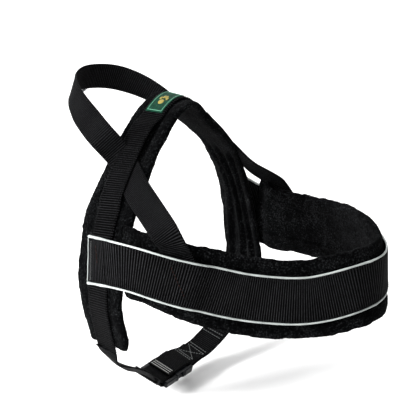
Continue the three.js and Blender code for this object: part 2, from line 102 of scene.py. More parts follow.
RIB_PITCH = 2.4
RIB_HEIGHT = 0.22
STATIONS_PER_RIB = 5
VOXEL = 0.004  # metres, of the pads before they are blown up
PUFF_LIMIT = 0.0024  # metres a pad may swell
CLOTH_MASS = 0.003
CLOTH_FRAMES = 20
PRESSURE = 4
UPPER_MARGIN = 3.5  # extra width of the chest pad above its webbing, on the near side
LOWER_MARGIN = 4.5  # extra width of the chest pad below its webbing
LEG_FLARE = 5.0  # extra half width of the near leg where the chest band crosses it
FAR_LEG_CURL = 8.0  # how far the far leg's front edge curls inwards
STITCH_LENGTH = 2.6
STITCH_GAP = 1.3
THREAD = 0.32  # radius
STRAP_SEAM = 12.8  # from a strap's middle to its edge seams
GIRTH_SEAM = 12.6
CHEST_SEAM = 21.6
BELLY_SEAM = 13.2

# ------------------------------------------------------------------ small helpers


def smooth(x):
    x = np.clip(x, 0, 1)
    return x * x * (3 - 2 * x)


def unit(v):
    return v / np.linalg.norm(v, axis=-1, keepdims=True)


def dot(a, b):
    return np.sum(a * b, axis=-1, keepdims=True)


def hump(x, centre, width):
    return np.exp(-(((x - centre) / width) ** 2))


# ------------------------------------------------------------------ surfaces that strips lie on


def catmull_rom(points, t):
    """Points of a uniform Catmull-Rom curve, t from 0 to 1, its ends reached by reflection."""
    last = len(points) - 1
    padded = np.vstack([2 * points[0] - points[1], points, 2 * points[-1] - points[-2]])
    place = np.clip(t, 0, 1) * last
    i = np.minimum(place.astype(int), last - 1)
    u = (place - i)[:, None]
    p0, p1, p2, p3 = (padded[i + k] for k in range(4))
    m1, m2 = (p2 - p0) / 2, (p3 - p1) / 2
    return (
        (2 * u**3 - 3 * u**2 + 1) * p1
        + (u**3 - 2 * u**2 + u) * m1
        + (3 * u**2 - 2 * u**3) * p2
        + (u**3 - u**2) * m2
    )


class StripSurface:
    """A ruled surface: a centre line, with a direction across it at each place."""

    def __init__(self, rows, side=1):
        rows = np.array(rows, float)
        self.at, self.across, self.side = rows[:, :3], rows[:, 3:], side
        self.t = np.linspace(0, 1, 401)
        steps = np.linalg.norm(np.diff(catmull_rom(self.at, self.t), axis=0), axis=1)
        self.table = np.concatenate([[0], np.cumsum(steps)])
        self.length = self.table[-1]
        self.middle = self.table[200]

    def frames(self, distance):
        distance = np.atleast_1d(np.asarray(distance, float))
        t = np.interp(distance, self.table, self.t)
        centre = catmull_rom(self.at, t)
        along = unit(catmull_rom(self.at, t + 0.001) - catmull_rom(self.at, t - 0.001))
        over = np.maximum(distance - self.length, 0) + np.minimum(distance, 0)
        centre = centre + along * over[:, None]
        across = catmull_rom(self.across, t)
        across = unit(across - along * dot(across, along))
        outward = np.cross(across, along) * self.side
        return centre, along, across, outward

    def point(self, distance, across, out):
        centre, _, side, outward = self.frames(distance)
        across = np.atleast_1d(across)[:, None]
        return centre + side * across + outward * np.atleast_1d(out)[:, None]

    def grid(self, distance, across, out):
        """One row of points at each distance."""
        centre, _, side, outward = self.frames(distance)
        return centre[:, None] + side[:, None] * across[..., None] + outward[:, None] * out[..., None]

    def locate(self, points):
        """(distance, across, out) of points near the surface."""
        samples = np.linspace(0, self.length, int(self.length / 2))
        centre, along, across, outward = self.frames(samples)
        found = np.empty((len(points), 3))
        for part in np.array_split(np.arange(len(points)), max(1, len(points) // 4000)):
            offset = points[part][:, None, :] - centre[None]
            out = np.einsum("ijk,jk->ij", offset, outward)
            side = np.einsum("ijk,jk->ij", offset, across)
            ahead = np.einsum("ijk,jk->ij", offset, along)
            score = np.abs(ahead) + 0.02 * (np.abs(out) + np.abs(side))
            score[np.abs(out) > 25] += 100
            best = np.argmin(score, axis=1)
            rows = np.arange(len(part))
            found[part, 0] = samples[best] + ahead[rows, best]
            found[part, 1] = side[rows, best]
            found[part, 2] = out[rows, best]
        return found


def place_on(surface, distance, across, heading, out=OVER_PAD, lean=0):
    """A strap's point on a surface, as a row of place and direction across the strap. Lean turns
    the strap about its own length, in degrees."""
    _, along, side, outward = surface.frames(distance)
    way = along * heading[0] + side * heading[1]
    sideways = unit(np.cross(outward, way))
    turn = math.radians(lean)
    sideways = sideways * math.cos(turn) + outward * math.sin(turn)
    return [*surface.point(distance, across, out)[0], *sideways[0]]


SADDLE = StripSurface([
    (10, -128, -234, 1, -0.25, 0),
    (3, -133, -179, 1, -0.24, 0),
    (-1, -118, -118, 1, -0.25, 0),
    (-4, -87, -73, 1, -0.25, 0),
    (-4, -44, -28, 1, -0.25, 0),
    (0, 0, 0, 1, -0.25, 0),
    (2, 44, -35, 1, -0.25, 0),
    (3, 88, -75, 1, -0.24, 0),
    (4, 118, -121, 1, -0.18, 0),
    (7, 131, -177, 1, -0.08, 0),
    (14, 129, -232, 1, 0, 0),
])
CHEST = StripSurface([
    (-17, -121, -141, 0.02, 0.15, 1),
    (38, -133, -131, -0.02, 0.02, 1),
    (90, -120, -141, -0.05, 0, 1),
    (140, -85, -159, -0.08, 0.02, 1),
    (193, -46, -165, -0.07, 0.04, 1),
    (232, -10, -155, -0.09, 0.02, 1),
    (236, 28, -149, 0, -0.1, 1),
    (199, 70, -145, -0.12, -0.18, 1),
    (150, 100, -149, -0.1, -0.24, 1),
    (90, 118, -157, -0.06, -0.22, 1),
    (36, 126, -157, 0, -0.12, 1),
    (-18, 129, -142, 0, 0.02, 1),
], side=-1)
HANDLE_ROWS = [
    (-36, -81, -22, 0.55, 0.55, 0.63),
    (-58, -72, -12, 0.5, 0.45, 0.74),
    (-90, -52, -1, 0.4, 0.2, 0.9),
    (-122, -18, 7, 0.3, 0.05, 0.95),
    (-130, 20, 8, 0.2, 0, 0.98),
    (-112, 58, 0, 0.2, -0.1, 0.97),
    (-78, 84, -20, 0.3, -0.3, 0.9),
    (-42, 96, -48, 0.5, -0.5, 0.7),
]
HANDLE = StripSurface(HANDLE_ROWS)
TOP = SADDLE.middle


def crossing_lift(distance):
    off = np.abs(np.abs(distance - TOP) - CROSSING_FROM_TOP)
    return CROSSING_LIFT * smooth((CROSSING_REACH - off) / 18)


def end_rise(distance):
    near = RISE_NEAR - distance
    far = RISE_FAR - (CHEST.length - distance)
    return CHEST_RISE * smooth(np.maximum(near, far) / 24 + 0.5)


def diagonal_rows(near):
    """Rows of a diagonal strap, from under the chest webbing up to the handle. A place on the
    chest is (distance from the band's end, across, raised, heading, lean), and one on the saddle
    is (distance from the top, across, raised, heading)."""
    way = 1 if near else -1
    if near:
        on_chest = [(118, 4, 1, 0.62, 0), (106, 24, 1, 0.62, 0), (90, 48, 5.4, 0.62, 0)]
        on_saddle = [(124, 36, 1.8, 1.0), (104, 12, 0, 1.1), (85, -12, 0, 1.25)]
    else:
        on_chest = [(112, 2, 1, 0.8, 0), (97, 20, 1, 0.8, FAR_LEAN / 3), (80, 42, 0, 0.9, FAR_LEAN)]
        on_saddle = [(132, 38, -7, 1.1), (109, 13, -2, 1.15), (88, -12, 0, 1.25)]
    rows = []
    for d, b, raised, heading, lean in on_chest:
        at = d if near else CHEST.length - d
        rows.append(place_on(CHEST, at, b, (-way * heading, 1), OVER_PAD + raised, lean))
    for d, b, raised, turn in on_saddle:
        at = TOP - d if near else TOP + d
        rows.append(place_on(SADDLE, at, b, (way, -turn), OVER_PAD + raised))
    return rows


# ------------------------------------------------------------------ materials


class Nodes:
    """A short way to write a material's node tree."""

    def __init__(self, name):
        self.material = bpy.data.materials.new(name)
        self.material.use_nodes = True
        self.tree = self.material.node_tree
        self.shader = self.tree.nodes["Principled BSDF"]

    def add(self, kind, **settings):
        node = self.tree.nodes.new(kind)
        for key, value in settings.items():
            setattr(node, key, value)
        return node

    def link(self, out, into):
        self.tree.links.new(out, into)

    def set(self, **values):
        for name, value in values.items():
            self.shader.inputs[name.replace("_", " ")].default_value = value

    def math(self, operation, a, b=0.0):
        node = self.add("ShaderNodeMath", operation=operation)
        for socket, value in zip(node.inputs, (a, b)):
            if isinstance(value, (int, float)):
                socket.default_value = value
            else:
                self.link(value, socket)
        return node.outputs[0]

    def noise(self, scale, detail=3.0, roughness=0.6):
        coords = self.add("ShaderNodeTexCoord")
        node = self.add("ShaderNodeTexNoise")
        node.inputs["Scale"].default_value = scale
        node.inputs["Detail"].default_value = detail
        node.inputs["Roughness"].default_value = roughness
        self.link(coords.outputs["Object"], node.inputs["Vector"])
        return node.outputs["Fac"]

    def weave(self):
        """The place on a strap, in mm: along it, across it, and 1 on its outer face."""
        node = self.add("ShaderNodeAttribute", attribute_name="weave")
        split = self.add("ShaderNodeSeparateXYZ")
        self.link(node.outputs["Vector"], split.inputs[0])
        return split.outputs

    def ramp(self, value, *stops):
        node = self.add("ShaderNodeValToRGB")
        elements = node.color_ramp.elements
        while len(elements) < len(stops):
            elements.new(0.5)
        for element, (place, colour) in zip(elements, stops):
            element.position = place
            element.color = (*colour, 1)
        self.link(value, node.inputs[0])
        return node.outputs["Color"]

    def bump(self, *layers):
        """Each layer is (height, depth in mm)."""
        normal = None
        for height, depth in layers:
            node = self.add("ShaderNodeBump")
            node.inputs["Distance"].default_value = depth / 1000
            self.link(height, node.inputs["Height"])
            if normal is not None:
                self.link(normal, node.inputs["Normal"])
            normal = node.outputs["Normal"]
        self.link(normal, self.shader.inputs["Normal"])

    def colour(self, value):
        self.link(value, self.shader.inputs["Base Color"])


def fleece_material():
    n = Nodes("fleece")
    grain = n.noise(620, 4.0, 0.7)
    patches = n.noise(45, 2.0)
    mixed = n.math("ADD", n.math("MULTIPLY", grain, 0.8), n.math("MULTIPLY", patches, 0.2))
    n.colour(n.ramp(
        mixed,
        (0.42, (0.0001, 0.0001, 0.0002)),
        (0.54, (0.0011, 0.0012, 0.0013)),
        (0.65, (0.021, 0.0222, 0.0236))))
    n.bump((patches, 1.2), (grain, 1.4))
    n.set(Roughness=1.0, Sheen_Weight=0.01, Sheen_Roughness=0.5)
    n.set(Sheen_Tint=(0.9, 0.93, 0.95, 1), Specular_IOR_Level=0.01)
    return n.material


def webbing_material(name, bright=1.0):
    """Ribs across the strap: thread bundles, each bundle twisted, with painted highlights on their
    crests and painted shade in the valleys between them.
    """
    n = Nodes(name)
    along, across, _ = n.weave()
    phase = n.math("MULTIPLY", along, math.pi / RIB_PITCH)
    ridge = n.math("POWER", n.math("ABSOLUTE", n.math("COSINE", phase)), 1.6)
    slant = n.math("ADD", n.math("MULTIPLY", across, 5.2), n.math("MULTIPLY", along, 1.3))
    twist = n.math("SINE", slant)
    grain = n.noise(900, 3.0)
    worn = n.noise(30, 3.0)
    # Painted light: the colour follows the rib profile, a painted highlight on each crest and painted
    # shade in each valley; the worn noise adds random tone.
    lit = n.math("MULTIPLY", ridge, n.math("ADD", n.math("MULTIPLY", grain, 0.9), 0.3))
    lit = n.math("ADD", n.math("MULTIPLY", lit, 0.85), n.math("MULTIPLY", worn, 0.2))
    # from painted shade in the valleys up to painted highlight on the crests
    n.colour(n.ramp(
        lit,
        (0.26, (0.0001, 0.0001, 0.00015)),
        (0.52, tuple(bright * c for c in (0.0008, 0.0008, 0.0009))),
        (0.84, tuple(bright * c for c in (0.02, 0.0203, 0.0217)))))
    n.bump((ridge, 0.8), (twist, 0.15), (grain, 0.12))
    n.set(Roughness=0.45, Specular_IOR_Level=0.01)
    return n.material


def thread_material(name, colour, roughness=0.55):
    n = Nodes(name)
    grain = n.noise(1500, 2.0)
    dark = tuple(0.6 * c for c in colour)
    n.colour(n.ramp(grain, (0.35, dark), (0.65, colour)))
    n.bump((grain, 0.2))
    n.set(Roughness=roughness, Specular_IOR_Level=0.05)
    return n.material


def reflective_material():
    n = Nodes("reflective")
    fine = n.noise(2600, 2.0)
    soil = n.noise(70, 4.0)
    mixed = n.math("ADD", n.math("MULTIPLY", fine, 0.35), n.math("MULTIPLY", soil, 0.65))
    n.colour(n.ramp(
        mixed,
        (0.3, (0.17, 0.185, 0.18)),
        (0.5, (0.3, 0.325, 0.315)),
        (0.7, (0.42, 0.45, 0.44))))
    n.bump((fine, 0.08), (soil, 0.25))
    n.set(Roughness=0.34, Coat_Weight=0.25, Coat_Roughness=0.3, Specular_IOR_Level=0.6)
    return n.material


def label_material():
    n = Nodes("label_green")
    along, across, _ = n.weave()
    warp = n.math("SINE", n.math("MULTIPLY", across, 9.0))
    weft = n.math("SINE", n.math("MULTIPLY", along, 9.0))
    cloth = n.math("MULTIPLY", warp, weft)
    shade = n.math("ADD", n.math("MULTIPLY", cloth, 0.25), n.noise(300, 3.0))
    n.colour(n.ramp(shade, (0.3, (0.0005, 0.012, 0.006)), (0.75, (0.002, 0.05, 0.026))))
    n.bump((cloth, 0.12))
    n.set(Roughness=0.7, Specular_IOR_Level=0.1)
    return n.material


def plastic_material():
    n = Nodes("buckle_plastic")
    fine = n.noise(2400, 2.0)
    worn = n.noise(90, 4.0, 0.7)
    n.colour(n.ramp(worn, (0.35, (0.0018, 0.0023, 0.0032)), (0.7, (0.0055, 0.0068, 0.009))))
    n.bump((worn, 0.12), (fine, 0.05))
    n.set(Roughness=0.3, Specular_IOR_Level=0.14)
    return n.material


def steel_material():
    n = Nodes("ring_steel")
    brushed = n.noise(500, 4.0, 0.7)
    n.colour(n.ramp(brushed, (0.3, (0.42, 0.43, 0.44)), (0.7, (0.66, 0.67, 0.68))))
    n.bump((brushed, 0.05))
    n.set(Metallic=1.0, Roughness=0.24)
    return n.material


FLEECE = fleece_material()
WEB = webbing_material("webbing", 1.0)
# A darker copy of the same webbing for the girth strap: painted shade for the shadow over the top of
# the harness.
SHADED_GIRTH_WEB = webbing_material("girth_webbing_painted_shade", 0.75)
WIDE_WEB = webbing_material("wide_webbing", 1.2)
REFLECTIVE = reflective_material()
LABEL = label_material()
PLASTIC = plastic_material()
STEEL = steel_material()
BLACK_THREAD = thread_material("black_thread", (0.002, 0.002, 0.0023))
GREY_THREAD = thread_material("grey_thread", (0.11, 0.115, 0.115))
WHITE_THREAD = thread_material("white_thread", (0.4, 0.41, 0.4))
RUST_THREAD = thread_material("rust_thread", (0.03, 0.011, 0.008))
PALE_THREAD = thread_material("label_border", (0.1, 0.27, 0.18))
GOLD_THREAD = thread_material("label_gold", (0.27, 0.22, 0.06))

# ------------------------------------------------------------------ meshes


def place_object(name, data):
    obj = bpy.data.objects.new(name, data)
    bpy.context.scene.collection.objects.link(obj)
    return obj


def make_object(name, points_mm, faces, material, weave=None, shade_smooth=True):
    mesh = bpy.data.meshes.new(name)
    mesh.from_pydata((np.asarray(points_mm) / 1000).tolist(), [], faces)
    mesh.update()
    if weave is not None:
        attribute = mesh.attributes.new("weave", "FLOAT_VECTOR", "POINT")
        attribute.data.foreach_set("vector", np.asarray(weave, np.float32).ravel())
    mesh.polygons.foreach_set("use_smooth", [shade_smooth] * len(mesh.polygons))
    mesh.materials.append(material)
    return place_object(name, mesh)


def ring_faces(rings, size, closed=False):
    """Quads between rings of points; an open row of rings gets its two ends closed."""
    faces = []
    for r in range(rings if closed else rings - 1):
        a, b = r * size, ((r + 1) % rings) * size
        faces += [(a + k, a + (k + 1) % size, b + (k + 1) % size, b + k) for k in range(size)]
    if not closed:
        end = (rings - 1) * size
        faces.append(tuple(reversed(range(size))))
        faces.append(tuple(range(end, end + size)))
    return faces


def strap_profile(half, columns=9):
    """Across positions and relative heights round a webbing's section, edges rounded."""
    flat = np.linspace(-half + 0.9, half - 0.9, columns)
    edge_b = np.array([half - 0.2, half, half - 0.2])
    edge_h = np.array([-0.62, 0.0, 0.62])
    across = np.concatenate([flat, edge_b, flat[::-1], -edge_b])
    height = np.concatenate([-np.ones(columns), edge_h, np.ones(columns), -edge_h])
    return across, height


def ribs(distance):
    return 2 * np.abs(np.cos(math.pi * distance / RIB_PITCH)) ** 0.7 - 1


def waviness(distance):
    """How far a strap strays from its surface, as sewn webbing does."""
    return 0.25 * (np.sin(distance / 17) + 0.6 * np.sin(distance / 7.3 + 1))


def webbing(name, surface, start, end, half, low, high, lift=None, material=None, wavy=True,
            shape=None):
    """A ribbed strap on a surface, from low to high above it. Shape gives extra shifts along it
    and outwards, from the places along and across it."""
    count = int(abs(end - start) / RIB_PITCH * STATIONS_PER_RIB) + 2
    distance = np.linspace(start, end, count)
    across, height = strap_profile(half)
    size = len(across)
    raised = np.zeros(count) if lift is None else lift(distance)
    if wavy:
        raised = raised + waviness(distance)
    d = distance[:, None]
    inside = smooth((half - np.abs(across)) / 1.6)[None]
    thick = (high - low) / 2
    out = (low + high) / 2 + raised[:, None] + height[None] * (
        thick + RIB_HEIGHT * ribs(d) * (0.35 + 0.65 * inside))
    edge = 0.18 * ribs(d) * (1 - inside) + 0.25 * np.sin(d / 23 + 2)
    spread = across[None] + np.sign(across)[None] * edge
    points = surface.grid(distance, spread, out)
    if shape is not None:
        _, along, _, outward = surface.frames(distance)
        ahead, extra_out = shape(d, across[None])
        points = points + along[:, None] * ahead[..., None] + outward[:, None] * extra_out[..., None]
    weave = np.stack(np.broadcast_arrays(d, across[None], height[None]), axis=-1)
    faces = ring_faces(count, size)
    return make_object(name, points.reshape(-1, 3), faces, material or WEB, weave.reshape(-1, 3))


def centred_strap(name, surface, start, end, half=STRAP_HALF, wavy=True):
    """Webbing with its middle layer on the surface."""
    return webbing(name, surface, start, end, half, -HALF_WEBBING, HALF_WEBBING, wavy=wavy)


def round_section(side, up, sides):
    """Directions round a cord, at each of its points."""
    angle = np.linspace(0, 2 * math.pi, sides, endpoint=False)
    return side[:, None] * np.cos(angle)[None, :, None] + up[:, None] * np.sin(angle)[None, :, None]


def tube(name, path, radius, material, sides=10, closed=False):
    """A round cord along points in mm; radius may change along it."""
    path = np.asarray(path, float)
    count = len(path)
    radius = np.broadcast_to(radius, (count,))
    if closed:
        along = unit(np.roll(path, -1, 0) - np.roll(path, 1, 0))
    else:
        along = unit(np.gradient(path, axis=0))
    side = np.zeros_like(path)
    guess = np.cross(along[0], (0.3, 0.5, 0.8))
    for i in range(count):
        guess = guess - along[i] * np.dot(guess, along[i])
        guess = guess / np.linalg.norm(guess)
        side[i] = guess
    ring = round_section(side, np.cross(along, side), sides)
    points = path[:, None] + ring * radius[:, None, None]
    faces = ring_faces(count, sides, closed)
    return make_object(name, points.reshape(-1, 3), faces, material)


def stitches(name, runs, material, thread=THREAD, length=STITCH_LENGTH, gap=STITCH_GAP):
    """Sewn thread. Each run is a line of points in mm with its outward directions; a stitch dips
    into the cloth at both its ends."""
    points, faces = [], []
    share = np.array([0, 0.12, 0.5, 0.88, 1])
    depth = np.array([-0.55, 0.1, 0.3, 0.1, -0.55])
    for line, outward in runs:
        line, outward = np.asarray(line, float), np.asarray(outward, float)
        steps = np.linalg.norm(np.diff(line, axis=0), axis=1)
        table = np.concatenate([[0], np.cumsum(steps)])
        start = 0.3
        while start + length < table[-1]:
            at = start + share * length
            centre = np.stack([np.interp(at, table, line[:, k]) for k in range(3)], axis=-1)
            out = unit(np.stack([np.interp(at, table, outward[:, k]) for k in range(3)], axis=-1))
            along = unit(np.broadcast_to(centre[-1] - centre[0], centre.shape))
            middle = centre + out * (depth * thread * 2)[:, None]
            ring = round_section(np.cross(along, out), out, 5)
            base = len(points) * 25
            points.append((middle[:, None] + ring * thread).reshape(-1, 3))
            faces += [tuple(base + i for i in face) for face in ring_faces(5, 5)]
            start += length + gap
    return make_object(name, np.concatenate(points), faces, material)


def line_on(surface, start, end, out, lift=None, steps=None):
    """A straight run of stitches between two (distance, across) places on a surface."""
    (d0, b0), (d1, b1) = start, end
    steps = steps or max(2, int(math.hypot(d1 - d0, b1 - b0) / 3))
    d, b = np.linspace(d0, d1, steps), np.linspace(b0, b1, steps)
    raised = waviness(d) + (0 if lift is None else lift(d))
    _, _, _, outward = surface.frames(d)
    return surface.point(d, b, out + raised), outward


def zigzag(surface, start, end, width, pitch, out, lift=None):
    """A zigzag between two (distance, across) places, as one line of points."""
    (d0, b0), (d1, b1) = start, end
    count = int(math.hypot(d1 - d0, b1 - b0) / pitch * 2)
    share = np.linspace(0, 1, count)
    swing = width * np.where(np.arange(count) % 2, 0.5, -0.5)
    d = d0 + (d1 - d0) * share + (swing if abs(b1 - b0) > abs(d1 - d0) else 0)
    b = b0 + (b1 - b0) * share + (0 if abs(b1 - b0) > abs(d1 - d0) else swing)
    raised = waviness(d) + (0 if lift is None else lift(d))
    _, _, _, outward = surface.frames(d)
    return surface.point(d, b, out + raised), outward


# ------------------------------------------------------------------ pads


def blown_up(obj, pinned):
    """Swells a closed pad with the cloth solver; pinned points stay sewn down."""
    group = obj.vertex_groups.new(name="sewn")
    for i in np.flatnonzero(pinned):
        group.add([int(i)], 1.0, "REPLACE")
    before = np.array([v.co for v in obj.data.vertices])
    cloth = obj.modifiers.new("cloth", "CLOTH")
    settings = cloth.settings
    settings.quality = 4
    settings.mass = CLOTH_MASS
    settings.use_pressure = True
    settings.uniform_pressure_force = PRESSURE
    settings.effector_weights.gravity = 0
    settings.vertex_group_mass = "sewn"
    settings.tension_stiffness = 5
    settings.compression_stiffness = 5
    settings.bending_stiffness = 0.2
    scene = bpy.context.scene
    for step in range(1, CLOTH_FRAMES + 1):
        scene.frame_set(step)
    swollen = obj.evaluated_get(bpy.context.evaluated_depsgraph_get())
    after = np.array([v.co for v in swollen.data.vertices])
    obj.modifiers.clear()
    obj.vertex_groups.clear()
    scene.frame_set(1)
    move = after - before
    size = np.linalg.norm(move, axis=1, keepdims=True)
    move *= np.minimum(1, PUFF_LIMIT / np.maximum(size, 1e-9))
    return before + move


def apply_modifiers(obj):
    evaluated = obj.evaluated_get(bpy.context.evaluated_depsgraph_get())
    mesh = bpy.data.meshes.new_from_object(evaluated)
    obj.modifiers.clear()
    obj.data = mesh


def set_points(obj, points):
    obj.data.vertices.foreach_set("co", np.asarray(points, np.float32).ravel())
    obj.data.update()


def pad(name, surface, start, end, half, web_half, relief, subdivisions=2):
    """A stuffed fleece pad: its sheath is blown up, then its seams and folds are pressed in."""
    count, columns = int((end - start) / 4), 12
    distance = np.linspace(start + 1.5, end - 1.5, count)
    flat = np.linspace(-half + 2.5, half - 2.5, columns)
    edge_b = np.array([half - 1.0, half - 0.6, half - 1.0])
    edge_h = np.array([-0.6, 0, 0.6])
    across = np.concatenate([flat, edge_b, flat[::-1], -edge_b])
    height = np.concatenate([-np.ones(columns), edge_h, np.ones(columns), -edge_h])
    middle, thick = PAD_THICKNESS / 2, PAD_THICKNESS / 2 - 0.7
    taper = np.minimum(1, 0.55 + 0.45 * np.minimum(distance - start, end - distance) / 5)
    points = surface.grid(distance, across, middle + height[None] * thick * taper[:, None])
    obj = make_object(name, points.reshape(-1, 3), ring_faces(count, len(across)), FLEECE)
    remesh = obj.modifiers.new("remesh", "REMESH")
    remesh.mode = "VOXEL"
    remesh.voxel_size = VOXEL
    apply_modifiers(obj)
    rest = np.array([v.co for v in obj.data.vertices]) * 1000
    place = surface.locate(rest)
    under_web = (place[:, 2] > middle + 1) & (np.abs(place[:, 1]) < web_half)
    seam = np.abs(np.abs(place[:, 1]) - (web_half - 2)) < 2.2
    set_points(obj, blown_up(obj, under_web | seam))
    subdivide = obj.modifiers.new("subdivide", "SUBSURF")
    subdivide.levels = subdivide.render_levels = subdivisions
    apply_modifiers(obj)
    points = np.array([v.co for v in obj.data.vertices]) * 1000
    place = surface.locate(points)
    _, along, side, outward = surface.frames(place[:, 0])
    shift_out, shift_side = relief(place)
    points = points + outward * shift_out[:, None] + side * shift_side[:, None]
    fuzz = np.array([fuzz_height(p) for p in points])
    normals = np.array([v.normal for v in obj.data.vertices])
    set_points(obj, (points + normals * fuzz[:, None]) / 1000)
    obj.data.polygons.foreach_set("use_smooth", [True] * len(obj.data.polygons))
    obj.data.materials.clear()
    obj.data.materials.append(FLEECE)
    return obj


def fuzz_height(p):
    """Fleece pile: a fine, fixed roughness of the surface, in mm."""
    fine = noise.noise(Vector(p) * 0.55)
    broad = noise.noise(Vector(p) * 0.09)
    return 0.34 * fine + 0.5 * broad


def saddle_relief(place):
    """Pressed-in seams beside the webbing, long folds inside the far leg, a flared near leg."""
    d, b, out = place.T
    outer = smooth((out - 4) / 2)
    inner = 1 - outer
    seam = -0.9 * outer * (hump(np.abs(b), STRAP_HALF + 1.6, 1.6))
    down = d - TOP
    low = smooth((down - 95) / 40)
    fold = 0
    for centre, swing, height, width in ((-17, 5, 2.2, 3.6), (-3, -5, 3.4, 3.2), (11, 4, 3.8, 3.4)):
        line = centre + swing * np.sin(down / 30 + centre) * (1 - 0.5 * low)
        fold = fold - height * hump(b, line, width)
        fold = fold + 0.9 * height * hump(b, line + 1.9 * width, 0.9 * width)
    creases = 0.7 * np.sin(down / 12 + b / 16) * smooth(down / 30) * (1 - low)
    near = 1 - smooth((down + 60) / 30)
    ripple = 0.5 * np.sin(d / 9 + b / 11) * near
    lip = 2.2 * smooth((14 - d) / 14) * smooth((b - 8) / 20)
    curl = -FAR_LEG_CURL * smooth((b - 4) / 28) * smooth((down - 110) / 60)
    flare = LEG_FLARE * hump(down, -165, 85) - 2.5 * smooth((down - 60) / 60)
    behind = 4.0 * hump(down, -185, 80) * smooth(-b / SADDLE_HALF)
    wave = 0.5 * np.sin(d / 14) * smooth(np.abs(b) / SADDLE_HALF)
    sideways = wave + flare * b / SADDLE_HALF - behind
    return seam + inner * (low * fold + creases + ripple) + lip + curl, sideways


def chest_relief(place):
    """Pressed-in seams beside the webbing, buckled margins, and a flared front."""
    d, b, out = place.T
    outer = smooth((out - 4) / 2)
    inner = 1 - outer
    seam = -0.9 * outer * hump(np.abs(b), CHEST_WEB_HALF + PIPING_RADIUS * 2 + 1.6, 1.8)
    dent = -1.1 * inner * hump(np.abs(b), CHEST_WEB_HALF, 2.4)
    margin = smooth((np.abs(b) - CHEST_WEB_HALF) / 14)
    buckle = 0.9 * margin * np.sin(d / 15 + np.sign(b) * 1.3) * np.sin(d / 41)
    dimple = -1.4 * inner * hump(d, 420, 16) * hump(b, 6, 14) - 1.2 * inner * hump(d, 372, 9)
    front = hump(d, 300, 75)
    flare = 5.5 * front * smooth((-b - CHEST_WEB_HALF - 2) / 10)
    droop = LOWER_MARGIN * smooth((-b - CHEST_WEB_HALF) / 14) * smooth((d - 80) / 60)
    rise = UPPER_MARGIN * smooth((b - CHEST_WEB_HALF) / 14) * hump(d, 215, 100)
    recess = -3.2 * smooth((62 - d) / 8) * outer
    behind_leg = 4.5 * smooth((d - CHEST.length + 70) / 14) * inner
    rise = rise + 9 * smooth((b - 8) / 24) * smooth((d - CHEST.length + 88) / 34)
    shifts = seam + dent + buckle + dimple + flare + behind_leg + recess
    return shifts, 0.6 * margin * np.sin(d / 19) - droop + rise


def make_pads():
    saddle = pad("saddle_pad", SADDLE, 0, SADDLE.length, SADDLE_HALF, STRAP_HALF, saddle_relief)
    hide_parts("saddle_lining", "saddle_foam", "saddle_outer")
    chest = pad("chest_pad", CHEST, CHEST_PAD_START, CHEST.length - CHEST_PAD_END, CHEST_HALF,
                CHEST_WEB_HALF, chest_relief)
    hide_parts("chest_lining", "chest_foam", "chest_outer")
    for obj in (saddle, chest):
        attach(obj, "harness")


# ------------------------------------------------------------------ straps


def ride_as(obj, body, slot, *nodes):
    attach(obj, body)
    if nodes:
        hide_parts(*nodes)
    return obj


def make_girth():
    # The girth strap uses the darker webbing copy, which is painted shade.
    girth = webbing("girth_strap", SADDLE, -1, SADDLE.length + 1, STRAP_HALF, GIRTH_LOW,
                    GIRTH_LOW + WEBBING, crossing_lift, SHADED_GIRTH_WEB)
    ride_as(girth, "harness", "webbing", "girth_webbing")
    top = GIRTH_LOW + WEBBING + RIB_HEIGHT
    edges = [
        line_on(SADDLE, (8, side * GIRTH_SEAM), (SADDLE.length - 8, side * GIRTH_SEAM), top,
                crossing_lift, 240)
        for side in (-1, 1)
    ]
    ride_as(stitches("girth_seams", edges, BLACK_THREAD), "harness", "webbing")
    box = []
    for near in (True, False):
        centre = TOP - CROSSING_FROM_TOP if near else TOP + CROSSING_FROM_TOP
        corners = [(centre - 13, -12), (centre + 13, -12), (centre + 13, 12), (centre - 13, 12)]
        pairs = [*zip(corners, corners[1:] + corners[:1]), (corners[0], corners[2]),
                 (corners[1], corners[3])]
        box += [line_on(SADDLE, a, b, top, crossing_lift) for a, b in pairs]
    ride_as(stitches("girth_box_stitch", box, BLACK_THREAD, thread=0.38), "harness", "webbing")


def band_end_shape(distance, across):
    """The near end is cut askew, and a fold is pressed in where its lining ends."""
    ahead = BAND_SKEW * across * (1 - smooth((distance - BAND_END) / 45))
    groove = -0.7 * hump(distance, BAND_END + 27, 1.5) + 0 * across
    return ahead, groove


def make_chest_band():
    high = BAND_LOW + WIDE_WEBBING
    band = webbing("chest_strap", CHEST, BAND_END, CHEST.length - BAND_END, CHEST_WEB_HALF,
                   BAND_LOW, high, end_rise, WIDE_WEB, shape=band_end_shape)
    ride_as(band, "harness", "webbing", "chest_webbing")
    for level, label in ((1, "upper"), (-1, "lower")):
        make_piping(level, label, (BAND_LOW + high) / 2)
    make_hems(high)
    top = high + RIB_HEIGHT
    seams = [
        line_on(CHEST, (8, side * CHEST_SEAM), (CHEST.length - 8, side * CHEST_SEAM), top,
                end_rise, 300)
        for side in (-1, 1)
    ]
    ride_as(stitches("chest_seams", seams, BLACK_THREAD), "harness", "webbing")
    make_chest_tacks(top)


